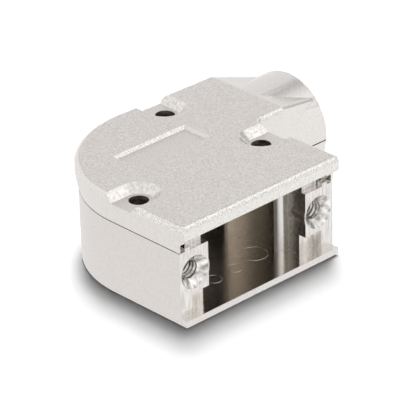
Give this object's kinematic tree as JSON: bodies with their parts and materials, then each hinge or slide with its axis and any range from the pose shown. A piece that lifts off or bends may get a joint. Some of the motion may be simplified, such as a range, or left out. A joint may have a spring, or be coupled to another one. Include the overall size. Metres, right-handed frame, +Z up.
{
  "type": "d-sub hood",
  "caption": "Die-cast connector hood in two screwed halves, with a wide flange mouth, threaded jackscrew lugs, a shallow label field and a round cable entry leaving at one side.",
  "frame": {"origin": "on the flat underside, below the middle of the connector mouth, in the plane that the connector's flange seats against", "axes": "+X along the flange towards the cable entry, +Y from the flange into the hood, +Z up from the underside through the two halves"},
  "size_m": [0.0467, 0.0339, 0.0163],
  "materials": {
    "plated_zinc": "satin, grained on top, smooth at the sides"
  },
  "bodies": {
    "root": {"lower_shell": "plated_zinc", "upper_shell": "plated_zinc"}
  },
  "joints": []
}
